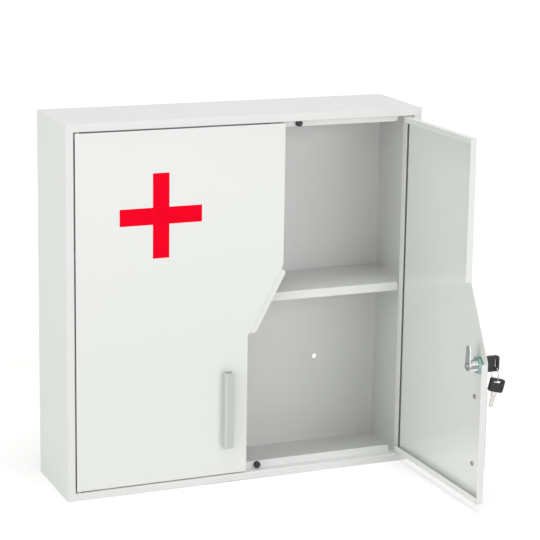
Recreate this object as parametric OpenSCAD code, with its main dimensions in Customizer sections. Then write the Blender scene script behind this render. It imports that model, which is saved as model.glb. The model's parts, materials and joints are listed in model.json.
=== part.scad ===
// Lockable two-door medicine cabinet of folded sheet steel, for a wall or a shelf.
// Origin: centre of the back face. X to the right, the wall at y = 0, Z up. Millimetres.
// Doors are drawn closed inside at_front(), where y is the depth behind the front face,
// and hung on their pins by on_left_door() and on_right_door().

/* [Body] */
// Overall width of the body
body_w = 600; // [520:1:720]
// Overall height of the body
body_h = 600; // [560:1:760]
// Overall depth of the body, front face to wall
body_d = 155; // [130:1:260]
// Thickness of the body sheet
sheet_t = 1; // [0.8:0.1:1.5]
// Radius of the folded edges that run front to back
fold_r = 2.5; // [1.8:0.1:4]
// Width of the rim round the doors
rim_w = 13; // [11:0.5:18]
// Depth of the reveal that the doors sit in
reveal_d = 18; // [16:0.5:24]
// Width of the rear flange that carries the back panel
rear_w = 12; // [8:0.5:20]

/* [Stop rails and jambs] */
// How far the stop rails show past the reveal
stop_w = 11; // [9:0.5:14]
// How far the jamb posts show past the reveal
jamb_w = 10; // [8:0.5:13]
// Width of the dark slot between reveal and jamb post
jamb_slot = 2; // [1.5:0.5:4]
// Depth of the jamb post behind its face
jamb_d = 11; // [8:0.5:16]
// Length of the foot that welds a rail or post to the body
foot_w = 12; // [8:0.5:20]
// Distance from the cabinet's side to the end of a stop rail
stop_end = 34; // [28:1:50]
// Radius of the free corners of a stop rail
stop_r = 6; // [3:0.5:8]

/* [Wall fixing] */
// Distance between the left and right wall holes
hole_span = 372; // [300:1:440]
// Height of the lower wall holes above the bottom
hole_low = 150; // [60:1:220]
// Distance of the upper wall holes below the top
hole_top = 35; // [30:1:120]
// Radius of a wall hole
hole_r = 4; // [3:0.1:6]

/* [Shelf] */
// Height of the shelf's top face above the bottom
shelf_z = 305; // [200:1:400]
// Height of the shelf's front lip
shelf_lip = 14; // [8:0.5:25]
// Height of the shelf's rear lip
shelf_rear = 8; // [5:0.5:12]
// Distance from the jamb's face to the shelf's front lip
shelf_set = 2.5; // [1.5:0.5:12]
// Clearance between the shelf and the body on each side
shelf_gap = 1; // [0.6:0.1:2]
// Leg length of a shelf bracket
bracket_leg = 14; // [10:0.5:22]
// Depth of a shelf bracket, front to back
bracket_d = 20; // [12:1:30]
// Thickness of a shelf bracket
bracket_t = 1.5; // [1:0.1:2.5]

/* [Side plugs] */
// Depth of the front plugs behind the front face
plug_front = 40; // [36:1:55]
// Distance of the rear plugs from the wall
plug_rear = 25; // [15:1:40]
// Distance of the plugs above and below the middle
plug_z = 100; // [60:1:160]
// Radius of a plug's shank, and of the hole that it fills
plug_shank_r = 1.6; // [1.2:0.1:3]
// Width of the head round the shank
plug_rim = 0.6; // [0.4:0.1:1]
// Height of a plug's head
plug_h = 0.7; // [0.4:0.1:1.2]

/* [Doors] */
// Thickness of the door sheet
door_t = 1; // [0.8:0.1:1.4]
// Depth of the folded door, front face to lip
door_d = 11; // [10:0.5:13]
// Width of the lips along the top and bottom of a door
lip_w = 10; // [6:0.5:14]
// Gap between a door and the rim
rim_gap = 2; // [1.6:0.1:3]
// Gap between the two doors
mid_gap = 3; // [2:0.1:4]
// Distance of the upper split from the middle of the cabinet
split_x = 62; // [30:1:90]
// Distance of the lower split from the middle of the cabinet
split_low = 2; // [-10:1:12]
// Height of the slanted part of the split
slant_h = 113; // [80:1:160]
// Cut back of the edge flanges at the ends of the slant
relief = 1.5; // [1:0.5:4]
// Seam at the folded corners
seam = 0.6; // [0.3:0.1:1.5]
// How far the lap strip reaches past the slanted edge
lap_over = 11; // [7:0.5:13]
// Width of the lap strip that is welded to the left door
lap_weld = 13; // [8:0.5:20]
// Thickness of the lap strip
lap_t = 1; // [0.8:0.1:1.5]
// Joggle that keeps the lap strip clear of the right door
lap_joggle = 0.4; // [0.3:0.1:0.8]
// Opening angle of the right door as drawn
right_open = 91; // [60:1:110]

/* [Hinges] */
// Distance of a pivot from the door's hinge edge
pivot_in = 4.5; // [4.2:0.1:6]
// Radius of a hinge pin
pin_r = 1.5; // [1:0.1:1.8]
// Radial clearance of a pin in its bush
pin_clear = 0.05; // [0.02:0.01:0.1]
// Length of the bush inside the door
bush_l = 5; // [3:0.5:8]
// Wall of the bush
bush_wall = 0.8; // [0.6:0.1:0.9]
// Thickness of the bush's collar
collar_t = 0.8; // [0.4:0.1:1.2]
// Thickness of a pin's head
pin_head_t = 1.6; // [1:0.1:2.5]

/* [Bumpers] */
// Radius of a rubber bumper
bumper_r = 5.2; // [4:0.1:5.5]
// Clearance between a bumper and the reveal
bumper_edge = 0.5; // [0.3:0.1:1.5]
// Clearance between a closed door and its bumper
bumper_gap = 0.3; // [0.2:0.1:0.6]
// Radius of a bumper's stem
stem_r = 2.4; // [1.5:0.1:3]
// Distance of the top bumpers from the doors' free edges
bumper_top = 26; // [18:1:36]
// Distance of the bottom bumpers from the doors' free edges
bumper_low = 22; // [16:1:36]

/* [Handles] */
// Length of a handle
handle_l = 125; // [100:1:160]
// Width of a handle
handle_w = 15.6; // [14:0.2:20]
// How far a handle stands off the door
handle_d = 17.5; // [14:0.5:24]
// Wall thickness of a handle
handle_t = 2.4; // [2:0.1:3]
// Length of the return along a handle's free edge
handle_lip = 3.6; // [2.6:0.2:5]
// Distance from the lock's axis down to the top of the handles
handle_drop = 46.5; // [45:0.5:60]
// Distance of a handle's centre from the door's free edge
handle_in = 35.5; // [30:0.5:50]
// Distance of a handle's screws from its ends
screw_in = 7.5; // [6:0.5:20]
// Radius of a handle screw
screw_r = 2; // [1.5:0.1:2.3]
// Radius of a handle screw's head
screw_head_r = 3.9; // [3:0.1:4.6]

/* [Cross] */
// Length of the arms of the cross, tip to tip
cross_l = 135; // [80:1:180]
// Width of an arm of the cross
cross_w = 27; // [16:1:36]
// Thickness of the film of the cross
cross_t = 0.25; // [0.1:0.05:0.5]
// Distance of the cross's centre from the left side
cross_x = 153; // [130:1:170]
// Distance of the cross's centre below the top
cross_z = 150; // [120:1:190]

/* [Lock] */
// Distance of the lock's axis from the door's free edge
lock_in = 25; // [22:0.5:28]
// Distance of the lock's axis below the slanted edge
lock_down = 9; // [4:0.5:16]
// Radius of the lock's threaded barrel
barrel_r = 9; // [8.6:0.1:9.5]
// Distance of the barrel's flats from its axis
barrel_flat = 8.2; // [7.8:0.1:8.5]
// Length of the barrel behind the front face
barrel_l = 20; // [18:0.5:24]
// Radius of the lock's front flange
rose_r = 11.5; // [10.5:0.5:14]
// Thickness of the lock's front flange
rose_t = 2.5; // [1.5:0.1:3.5]
// Width of the hexagonal nut across its flats
nut_af = 24; // [22:0.5:26]
// Thickness of the nut
nut_t = 5; // [3:0.5:7]
// Radius of the tooth washer
washer_r = 15; // [14:0.5:16]
// Thickness of the tooth washer
washer_t = 1.2; // [0.8:0.1:2]
// Radius of the turning plug
plug_core_r = 6.5; // [6:0.1:7]
// Reach of the cam from the lock's axis
cam_l = 34; // [28:1:38]
// Width of the cam at the lock's axis
cam_w = 16; // [14:0.5:18]
// Width of the cam at its tip
cam_tip = 12; // [8:0.5:14]
// Thickness of the cam
cam_t = 2; // [1.5:0.1:3]
// Side of the square tail that turns the cam
tail_w = 7; // [6:0.1:8]
// Radius of the cam screw
cam_screw_r = 2; // [1.5:0.1:2.4]
// Number of wafer tumblers in the plug
wafers_n = 5; // [3:1:5]

/* [Keys] */
// Width of a key's bow, across the blade
bow_w = 25; // [22:0.5:28]
// Length of a key's bow, along the blade
bow_l = 21.5; // [19:0.5:24]
// Thickness of a key's bow
bow_t = 6.5; // [5:0.5:7.5]
// Corner radius of a key's bow
bow_r = 3.5; // [2:0.5:5]
// Length of the slot in a key's bow
slot_l = 15; // [13:0.5:17]
// Width of the slot in a key's bow
slot_w = 3.6; // [3.2:0.1:5]
// Distance of the slot's centre from the end of the bow
slot_in = 5.5; // [4.5:0.1:7]
// Width of the blade's shoulder
shoulder_w = 9; // [8:0.5:10]
// Length of the blade's shoulder
shoulder_l = 8; // [4:0.5:9]
// Width of the blade
blade_w = 6.6; // [5.5:0.1:7]
// Length of the blade that enters the plug
blade_l = 17; // [14:0.5:17]
// Thickness of the blade
blade_t = 2; // [1.6:0.1:2.4]
// Clearance round the blade in the plug
key_clear = 0.2; // [0.1:0.05:0.3]
// Mean radius of the key ring
ring_r = 11.5; // [10.5:0.1:13]
// Radius of the ring's wire
wire_r = 0.8; // [0.6:0.05:1]
// Tilt of the hanging key
spare_tilt = 15; // [0:1:25]

/* [Hidden] */
$fn = 48;
eps = 0.01;
fit = 0.05;                      // radial clearance of fixed stems and shanks
half_w = body_w / 2;
open_x = half_w - rim_w;         // half the opening between the reveals
stop_y = reveal_d;               // depth of the stop rails' faces
jamb_y = reveal_d + 0.8;         // depth of the jamb posts' faces, just clear of the reveal
back_y = body_d - sheet_t;       // depth of the back panel's inner face
panel_set = 0.4;                 // the back panel's edge lies this far inside the walls' faces
door_x = open_x - rim_gap;       // hinge edge of a closed door
door_lo = rim_w + rim_gap;       // bottom edge of the doors
door_hi = body_h - door_lo;      // top edge of the doors
slant_lo = (body_h - slant_h) / 2;
slant_hi = (body_h + slant_h) / 2;
left_low = split_low - mid_gap / 2; // left door's free edge, below the slant
left_up = split_x - mid_gap / 2; // and above it
right_low = split_low + mid_gap / 2;
right_up = split_x + mid_gap / 2;
slant_a = atan2(slant_h, split_x - split_low);
slant_len = norm([split_x - split_low, slant_h]);
lap_end = 8;                     // the lap strip stops this far below the upper corner
lap_foot = 3;                    // and this far above the lower one
lap_r = 5;
pivot_x = door_x - pivot_in;
bush_r = pin_r + pin_clear + bush_wall;
bush_gap = 0.15;                 // between a bush and the skin of its door
collar_rim = 0.6;                // the collar stands this far out round its bush
pivot_d = door_t + bush_r + bush_gap;
pin_head_r = pivot_d - sheet_t - bush_gap;
pin_end = 1;                     // a pin shows this far past its bush
plug_r = plug_shank_r + plug_rim;
bumper_h = stop_y - door_d - bumper_gap;
bumper_z = rim_w + bumper_edge + bumper_r;
bumper_dome = 2;                 // radius of a bumper's rounded edge
bulb_r = stem_r + 1;
bulb_h = 2;
head_h = 2.2;                    // height of a handle screw's head
head_slot = 0.9;                 // width of the screws' recesses
crown = 0.6;                     // the flat top of a domed head over its full radius
lock_x = right_low + lock_in;
lock_z = slant_lo - lock_down;
handle_z = lock_z - handle_drop - handle_l / 2;
screw_span = handle_l - 2 * screw_in;
tooth = 1.6;                     // side of the notches round the tooth washer
teeth = 24;
core_front = rose_t + 0.8;       // the plug's face stands this far before the door
core_rear = barrel_l + 0.2;      // and it reaches this deep behind the door's face
tail_y = barrel_l + 0.3;         // depth of the cam's front face
tail_short = 0.2;                // the square tail ends this far inside the cam's rear face
cam_washer_r = 5.2;
cam_washer_t = 1;
cam_head_r = 4.2;
cam_head_h = 2.4;
cam_shank = 5;                   // depth of the cam screw's hole behind the cam
screw_short = 0.5;               // the screw ends this far before the bottom of its hole
root_l = 6;                      // the blade reaches this far into the bow
bit_first = 3.5;                 // distance of the first cut from the shoulder
bit_pitch = 2.6;
bit_cut = 0.9;                   // side of the shallowest cut, set on its corner
bit_step = 0.25;                 // and what each deeper cut adds
tip_cut = 2.6;
keyway_w = blade_w + 2 * key_clear;
keyway_t = blade_t + 2 * key_clear;
keyway_l = blade_l + 0.5;
wafer_t = 1;
wafer_pitch = 2.6;
wafer_first = 4;                 // distance of the first wafer behind the plug's face
wafer_w = keyway_w + 3;
wafer_b = keyway_t + 2.4;
wafer_gap = 0.15;                // between a wafer and its chamber
bow_y = -core_front - shoulder_l; // depth of the near end of the inserted key's bow
slot_y = bow_y - bow_l + slot_in; // depth of its slot
wire_lift = 0.55;                // room for the ring's curve in the slot
ring_top = lock_z - slot_l / 2 + wire_r + wire_lift;
ring_low = ring_top - 2 * ring_r;
spare_off = 5;                   // the ring sits this far from the hanging key's centre line
bracket_set = 6;                 // the brackets stay this far from posts and back panel
bracket_y = [jamb_y + jamb_d + foot_w + bracket_set, back_y - bracket_d - 2 * bracket_set];

// ---- frames and shared shapes ----

// Inside this frame y is the depth behind the front face and z the height above the bottom
module at_front() translate([0, -body_d, -body_h / 2]) children();

module on_left_door() at_front() children();

module on_right_door()
    at_front() translate([pivot_x, pivot_d, 0]) rotate([0, 0, right_open])
        translate([-pivot_x, -pivot_d, 0]) children();

// The lock's own frame: z runs out through the front, y up, x towards the hinge
module at_lock() on_right_door() translate([lock_x, 0, lock_z]) rotate([90, 0, 0]) children();

// A box between two corners, whichever comes first in x
module span(xa, xb, y0, y1, z0, z1)
    translate([min(xa, xb), y0, z0]) cube([abs(xb - xa), y1 - y0, z1 - z0]);

// A flat plate from a drawing in X and Z, at depth y0
module plate(y0, t) translate([0, y0 + t, 0]) rotate([90, 0, 0]) linear_extrude(t) children();

// A tube or rod through the sheet at x, z, from depth y0 to y1
module through(x, z, y0, y1, r)
    translate([x, y0, z]) rotate([-90, 0, 0]) cylinder(h = y1 - y0, r = r);

// A low round head on z = 0 with a bevelled crown
module domed_head(r, h) {
    cylinder(h = h / 2, r = r);
    translate([0, 0, h / 2]) cylinder(h = h / 2, r1 = r, r2 = crown * r);
}

// A crossed recess cut into the top of a head at height h
module cross_recess(r, h) for (a = [0, 90]) rotate(a) translate([0, 0, h])
    cube([1.1 * r, head_slot, h], center = true);

module rounded(w, h, r) {
    square([w - 2 * r, h], center = true);
    square([w, h - 2 * r], center = true);
    for (x = [-1, 1], z = [-1, 1]) translate([x * (w / 2 - r), z * (h / 2 - r)]) circle(r);
}

// ---- body ----

// Outline of the body, drawn in by the given amount all round
module body_outline(inset) rounded(body_w - 2 * inset, body_h - 2 * inset, fold_r - inset);

// Four walls with a rear flange, then the front rim and the reveal folded back from it
module body_wrap() color("white") at_front() difference() {
    translate([0, 0, body_h / 2]) {
        plate(0, back_y) difference() {
            body_outline(0);
            body_outline(sheet_t);
        }
        plate(back_y - sheet_t, sheet_t) difference() {
            body_outline(sheet_t / 2);
            square([body_w - 2 * rear_w, body_h - 2 * rear_w], center = true);
        }
        plate(0, sheet_t) difference() {
            body_outline(sheet_t / 2);
            square([2 * open_x, body_h - 2 * rim_w], center = true);
        }
        plate(0, reveal_d) difference() {
            square([2 * (open_x + sheet_t), body_h - 2 * (rim_w - sheet_t)], center = true);
            square([2 * open_x, body_h - 2 * rim_w], center = true);
        }
    }
    // bores for the hinge pins in the top and bottom reveals
    for (x = [-pivot_x, pivot_x], z = [rim_w - sheet_t / 2, body_h - rim_w + sheet_t / 2])
        translate([x, pivot_d, z]) cylinder(h = 2 * sheet_t, r = pin_r + fit, center = true);
    side_plug_places() cylinder(h = 4 * sheet_t, r = plug_shank_r + fit, center = true);
}

module back_panel() color("white") at_front() difference() {
    translate([0, 0, body_h / 2]) plate(back_y, sheet_t) body_outline(panel_set);
    for (x = [-hole_span / 2, hole_span / 2], z = [hole_low, body_h - hole_top])
        through(x, z, back_y - 1, back_y + sheet_t + 1, hole_r);
}

// A stop rail drawn for the bottom: face plate, foot on the floor, holes for two bumpers
module stop_rail(bumpers) difference() {
    union() {
        plate(stop_y, sheet_t) difference() {
            top = rim_w + stop_w;
            rail = half_w - stop_end;
            translate([-rail, sheet_t]) square([2 * rail, top - sheet_t]);
            for (s = [-1, 1]) translate([s * rail, top]) difference() {
                square(2 * stop_r, center = true);
                translate([-s * stop_r, -stop_r]) circle(stop_r);
                translate([-s * 2 * stop_r, 0]) square(2 * stop_r, center = true);
                translate([-s * stop_r, -2 * stop_r]) square(2 * stop_r, center = true);
            }
        }
        span(-half_w + stop_end, half_w - stop_end, stop_y, stop_y + foot_w, sheet_t, 2 * sheet_t);
    }
    for (x = bumpers) through(x, bumper_z, stop_y - 1, stop_y + 2 * sheet_t + 1, stem_r + fit);
}

// The top rail is the bottom rail turned over
module at_top() translate([0, 0, body_h]) mirror([0, 0, 1]) children();

bumpers_up = [left_up - bumper_top, right_up + bumper_top];
bumpers_low = [left_low - bumper_low, right_low + bumper_low];

module top_stop_rail() color("white") at_front() at_top() stop_rail(bumpers_up);

module bottom_stop_rail() color("white") at_front() stop_rail(bumpers_low);

// The right-hand jamb post: face, web, rear plate and a foot on the side wall
module jamb() {
    face = open_x - jamb_w;
    web = open_x - jamb_slot;
    rear = jamb_y + jamb_d;
    wall = half_w - sheet_t;
    lo = fold_r;
    hi = body_h - fold_r;
    span(face, web, jamb_y, jamb_y + sheet_t, lo, hi);
    span(web - sheet_t, web, jamb_y, rear, lo, hi);
    span(web - sheet_t, wall, rear - sheet_t, rear, lo, hi);
    span(wall - sheet_t, wall, rear - sheet_t, rear + foot_w - sheet_t, lo, hi);
}

module right_jamb() color("white") at_front() jamb();

module left_jamb() color("white") at_front() mirror([1, 0, 0]) jamb();

shelf_y = jamb_y + shelf_set;

// The shelf is notched round the jamb posts and reaches the walls behind them
module shelf() color("white") at_front() {
    under = shelf_z - sheet_t;
    rear = back_y - sheet_t - shelf_gap;
    notch = jamb_y + jamb_d + shelf_gap;
    nose = open_x - jamb_w - shelf_gap;
    side = half_w - 2 * sheet_t - shelf_gap;
    span(-nose, nose, shelf_y, notch + eps, under, shelf_z);
    span(-side, side, notch, rear, under, shelf_z);
    span(-nose, nose, shelf_y, shelf_y + sheet_t, shelf_z - shelf_lip, shelf_z);
    span(-side, side, rear - sheet_t, rear, shelf_z - shelf_rear, shelf_z);
}

module shelf_brackets() color("white") at_front()
    for (s = [0, 1], y = bracket_y) mirror([s, 0, 0]) {
        wall = half_w - sheet_t;
        seat = shelf_z - sheet_t;
        span(wall - bracket_leg, wall, y, y + bracket_d, seat - bracket_t, seat);
        span(wall - bracket_t, wall, y, y + bracket_d, seat - bracket_leg, seat);
    }

// Both sides, near the front and the wall, above and below the middle; z points outwards
module side_plug_places()
    for (s = [-1, 1], y = [plug_front, body_d - plug_rear], z = [-plug_z, plug_z])
        translate([s * half_w, y, body_h / 2 + z]) rotate([0, s * 90, 0]) children();

module side_plugs() color("white") at_front() side_plug_places() {
    translate([0, 0, -sheet_t]) cylinder(h = sheet_t, r = plug_shank_r);
    domed_head(plug_r, plug_h);
}

// A domed bumper with its stem and bulb, standing on a rail at depth stop_y
module bumper() rotate([90, 0, 0]) rotate_extrude() {
    square([bumper_r, bumper_h - bumper_dome]);
    square([bumper_r - bumper_dome, bumper_h]);
    translate([bumper_r - bumper_dome, bumper_h - bumper_dome]) circle(bumper_dome);
    translate([0, -sheet_t - eps]) square([stem_r, sheet_t + 2 * eps]);
    translate([0, -sheet_t - bulb_h]) square([bulb_r, bulb_h]);
}

module top_bumpers() color("black") at_front() at_top()
    for (x = bumpers_up) translate([x, stop_y, bumper_z]) bumper();

module bottom_bumpers() color("black") at_front()
    for (x = bumpers_low) translate([x, stop_y, bumper_z]) bumper();

// ---- hinges ----

// One pin, drawn for the bottom: head under the reveal, shank up into the bush
module hinge_pin() {
    translate([0, 0, rim_w - sheet_t - pin_head_t]) cylinder(h = pin_head_t, r = pin_head_r);
    translate([0, 0, rim_w - sheet_t - eps])
        cylinder(h = sheet_t + rim_gap + bush_l + pin_end + eps, r = pin_r);
}

module hinge_bush() difference() {
    union() {
        translate([0, 0, door_lo - collar_t]) cylinder(h = collar_t, r = bush_r + collar_rim);
        translate([0, 0, door_lo - eps]) cylinder(h = bush_l + eps, r = bush_r);
    }
    translate([0, 0, door_lo - 2 * collar_t])
        cylinder(h = bush_l + 4 * collar_t, r = pin_r + pin_clear);
}

module hinge_pair(s) translate([s * pivot_x, pivot_d, 0]) {
    children();
    at_top() children();
}

module left_hinge_pins() color("silver") at_front() hinge_pair(-1) hinge_pin();

module right_hinge_pins() color("silver") at_front() hinge_pair(1) hinge_pin();

module left_hinge_bushes() color("ivory") on_left_door() hinge_pair(-1) hinge_bush();

module right_hinge_bushes() color("ivory") on_right_door() hinge_pair(1) hinge_bush();

// ---- doors ----

// A folded door: skin, top and bottom edges with lips, free edges above and below the slant
module door(hinge, up, low) difference() {
    s = sign(up - hinge);
    union() {
        plate(0, door_t) polygon([
            [hinge, door_lo], [hinge, door_hi], [up, door_hi],
            [up, slant_hi], [low, slant_lo], [low, door_lo]
        ]);
        up_end = up - s * (door_t + seam);
        low_end = low - s * (door_t + seam);
        span(hinge, up_end, 0, door_d, door_hi - door_t, door_hi);
        span(hinge, up_end, door_d - door_t, door_d, door_hi - lip_w, door_hi);
        span(hinge, low_end, 0, door_d, door_lo, door_lo + door_t);
        span(hinge, low_end, door_d - door_t, door_d, door_lo, door_lo + lip_w);
        span(up - s * door_t, up, 0, door_d, slant_hi + relief, door_hi);
        span(low - s * door_t, low, 0, door_d, door_lo, slant_lo - relief);
    }
    hinge_pair(sign(hinge))
        translate([0, 0, door_lo + door_t / 2])
            cylinder(h = 2 * door_t, r = bush_r + fit, center = true);
    handle_screw_places(low, -s) through(0, 0, -1, door_t + 1, screw_r + fit);
}

module left_door() color("white") on_left_door() door(-door_x, left_up, left_low);

module right_door() color("white") on_right_door() difference() {
    door(door_x, right_up, right_low);
    translate([lock_x, 0, lock_z]) rotate([90, 0, 0])
        linear_extrude(4 * door_t, center = true) barrel_outline(fit);
}

// x runs up the slanted edge from its lower corner, y into the left door
module along_slant() translate([left_low, slant_lo]) rotate(slant_a) children();

module above_foot() intersection() {
    children();
    translate([-half_w, slant_lo + lap_foot]) square([body_w, slant_h]);
}

// Welded behind the slanted edge and joggled clear of the right door
module lap_strip() color("white") on_left_door() {
    top = slant_len - lap_end;
    plate(door_t, lap_joggle + lap_t) above_foot() along_slant()
        square([top, lap_weld]);
    plate(door_t + lap_joggle, lap_t) above_foot() along_slant() {
        translate([-lap_over, -lap_over]) square([top - lap_r + lap_over, lap_over + eps]);
        translate([0, lap_r - lap_over]) square([top, lap_over - lap_r + eps]);
        translate([top - lap_r, lap_r - lap_over]) circle(lap_r);
    }
}

module first_aid_cross() color("red") on_left_door() plate(-cross_t, cross_t)
    translate([cross_x - half_w, body_h - cross_z]) {
        square([cross_l, cross_w], center = true);
        square([cross_w, cross_l], center = true);
    }

// ---- handles ----

// Both screw places of the handle of the door whose lower free edge is at low
module handle_screw_places(low, s)
    for (z = [-1, 1])
        translate([low + s * handle_in, 0, handle_z + z * screw_span / 2]) children();

// Channel section, open towards the door's free edge: foot, web, face and a short return
module handle(low, s) difference() {
    x0 = low + s * (handle_in + handle_w / 2);
    x1 = low + s * (handle_in - handle_w / 2);
    translate([0, 0, handle_z - handle_l / 2]) {
        span(x0, x1, -handle_t, 0, 0, handle_l);
        span(x0, x0 - s * handle_t, -handle_d, 0, 0, handle_l);
        span(x0, x1, -handle_d, handle_t - handle_d, 0, handle_l);
        span(x1 + s * handle_t, x1, -handle_d, handle_lip - handle_d, 0, handle_l);
    }
    handle_screw_places(low, s) through(0, 0, -handle_t - 1, 1, screw_r + fit);
}

// Domed heads on the inside of the skin, shanks through it into the handle's foot
module handle_screws(low, s) handle_screw_places(low, s) rotate([-90, 0, 0]) {
    translate([0, 0, -handle_t]) cylinder(h = handle_t + door_t + eps, r = screw_r);
    translate([0, 0, door_t]) difference() {
        domed_head(screw_head_r, head_h);
        cross_recess(screw_head_r, head_h);
    }
}

module left_handle() color("gainsboro") on_left_door() handle(left_low, -1);

module right_handle() color("gainsboro") on_right_door() handle(right_low, 1);

module left_handle_screws() color("silver") on_left_door() handle_screws(left_low, -1);

module right_handle_screws() color("silver") on_right_door() handle_screws(right_low, 1);

// ---- lock, in its own frame: z = 0 is the door's front face, minus z is inside ----

module barrel_outline(grow) intersection() {
    circle(barrel_r + grow);
    square([2 * (barrel_flat + grow), 4 * barrel_r], center = true);
}

module lock_housing() color("silver") at_lock() difference() {
    union() {
        translate([0, 0, -barrel_l]) linear_extrude(barrel_l + eps) barrel_outline(0);
        cylinder(h = rose_t / 2, r = rose_r);
        translate([0, 0, rose_t / 2])
            cylinder(h = rose_t / 2, r1 = rose_r, r2 = rose_r - rose_t / 2);
    }
    translate([0, 0, -barrel_l - 1])
        cylinder(h = barrel_l + rose_t + 2, r = plug_core_r + pin_clear);
}

module lock_washer() color("silver") at_lock() translate([0, 0, -door_t - washer_t])
    linear_extrude(washer_t) difference() {
        circle(washer_r);
        circle(barrel_r + fit);
        for (i = [1:teeth]) rotate(i * 360 / teeth) translate([washer_r, 0]) rotate(45)
            square(tooth, center = true);
    }

module lock_nut() color("silver") at_lock() translate([0, 0, -door_t - washer_t - nut_t])
    difference() {
        cylinder(h = nut_t, r = nut_af / 2 / cos(30), $fn = 6);
        translate([0, 0, -1]) cylinder(h = nut_t + 2, r = barrel_r + fit);
    }

// The blade lies across the door's slots: its width runs up, its thickness along x
module keyway(w, t, z0, z1) translate([-t / 2, -w / 2, z0]) cube([t, w, z1 - z0]);

wafer_z = [for (i = [0:wafers_n - 1]) core_front - wafer_first - i * wafer_pitch];

module lock_plug() color("goldenrod") at_lock() difference() {
    union() {
        translate([0, 0, -core_rear]) cylinder(h = core_rear + core_front, r = plug_core_r);
        translate([-tail_w / 2, -tail_w / 2, tail_short - tail_y - cam_t])
            cube([tail_w, tail_w, tail_y - barrel_l + cam_t]);
    }
    keyway(keyway_w, keyway_t, core_front - keyway_l, core_front + 1);
    chamber = wafer_t / 2 + wafer_gap;
    for (z = wafer_z)
        keyway(wafer_w + 2 * wafer_gap, wafer_b + 2 * wafer_gap, z - chamber, z + chamber);
    translate([0, 0, -tail_y - cam_t - 1]) cylinder(h = cam_shank + 1, r = cam_screw_r + fit);
}

module wafer_tumblers() color("gold") at_lock() for (z = wafer_z) difference() {
    keyway(wafer_w, wafer_b, z - wafer_t / 2, z + wafer_t / 2);
    keyway(keyway_w, keyway_t, z - wafer_t, z + wafer_t);
}

module cam() color("silver") at_lock() translate([0, 0, -tail_y - cam_t]) linear_extrude(cam_t)
    difference() {
        union() {
            circle(cam_w / 2);
            polygon([
                [-cam_w / 2, 0], [cam_w / 2, 0],
                [cam_tip / 2, cam_l - cam_tip / 2], [-cam_tip / 2, cam_l - cam_tip / 2]
            ]);
            translate([0, cam_l - cam_tip / 2]) circle(cam_tip / 2);
        }
        square(tail_w + 2 * fit, center = true);
    }

module cam_washer() color("silver") at_lock()
    translate([0, 0, -tail_y - cam_t - cam_washer_t]) difference() {
        cylinder(h = cam_washer_t, r = cam_washer_r);
        translate([0, 0, -1]) cylinder(h = cam_washer_t + 2, r = cam_screw_r + fit);
    }

module cam_screw() color("silver") at_lock()
    translate([0, 0, -tail_y - cam_t - cam_washer_t]) rotate([180, 0, 0]) {
        difference() {
            domed_head(cam_head_r, cam_head_h);
            cross_recess(cam_head_r, cam_head_h);
        }
        depth = cam_washer_t + cam_shank - screw_short;
        translate([0, 0, -depth]) cylinder(h = depth + eps, r = cam_screw_r);
    }

// ---- keys: drawn with the slot's end up and the blade down, in X and Y, thickness along Z ----

module key_outline() difference() {
    translate([0, -bow_l / 2]) rounded(bow_w, bow_l, bow_r);
    translate([0, -slot_in]) {
        square([slot_l - slot_w, slot_w], center = true);
        for (s = [-1, 1]) translate([s * (slot_l - slot_w) / 2, 0]) circle(slot_w / 2);
    }
}

module bow_solid() difference() {
    linear_extrude(bow_t, center = true) key_outline();
    // mortise for the blade's root
    translate([0, -bow_l, 0]) cube([blade_w, 2 * root_l, blade_t], center = true);
}

module blade_solid() translate([0, -bow_l, 0]) linear_extrude(blade_t, center = true) {
    translate([-blade_w / 2, -eps]) square([blade_w, root_l]);
    translate([-shoulder_w / 2, -shoulder_l]) square([shoulder_w, shoulder_l]);
    difference() {
        translate([-blade_w / 2, -shoulder_l - blade_l]) square([blade_w, blade_l + eps]);
        // cuts of the bitting and the pointed tip
        for (i = [0:4]) translate([blade_w / 2, -shoulder_l - bit_first - i * bit_pitch])
            rotate(45) square(bit_cut + bit_step * (i % 3), center = true);
        for (s = [-1, 1]) translate([s * blade_w / 2, -shoulder_l - blade_l]) rotate(45)
            square(tip_cut, center = true);
    }
}

// The inserted key: its blade points into the door and its width runs up
module in_lock() at_lock() translate([0, 0, -bow_y + bow_l]) rotate([0, -90, 0]) rotate([0, 0, -90])
    children();

module key_blade() color("silver") in_lock() blade_solid();

module key_bow() color("black") in_lock() bow_solid();

// The ring hangs in the bow's slot, in a plane along the door
module key_ring() color("silver") at_lock()
    translate([0, ring_top - lock_z - ring_r, -slot_y])
        rotate_extrude() translate([ring_r, 0]) circle(wire_r);

// The second key hangs on the ring, tilted about the ring's lowest point
module on_ring() at_lock()
    translate([0, ring_low - lock_z, -slot_y]) rotate([0, 90, 0]) rotate([0, 0, spare_tilt])
        translate([-spare_off, slot_in - slot_w / 2 + wire_r + wire_lift, 0]) children();

module spare_key_blade() color("silver") on_ring() blade_solid();

module spare_key_bow() color("black") on_ring() bow_solid();

body_wrap();
back_panel();
top_stop_rail();
bottom_stop_rail();
left_jamb();
right_jamb();
shelf();
shelf_brackets();
side_plugs();
top_bumpers();
bottom_bumpers();
left_hinge_pins();
right_hinge_pins();
left_door();
lap_strip();
left_hinge_bushes();
left_handle();
left_handle_screws();
first_aid_cross();
right_door();
right_hinge_bushes();
right_handle();
right_handle_screws();
lock_housing();
lock_washer();
lock_nut();
lock_plug();
wafer_tumblers();
cam();
cam_washer();
cam_screw();
key_blade();
key_bow();
key_ring();
spare_key_blade();
spare_key_bow();
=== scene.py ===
# Looks of the lockable medicine cabinet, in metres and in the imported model's own frame.
# Lengths in the dictionaries are in mm, and fractions are shares of the size that they multiply.
import bmesh
import bpy
import json
import math
from mathutils import Matrix, Vector


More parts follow.
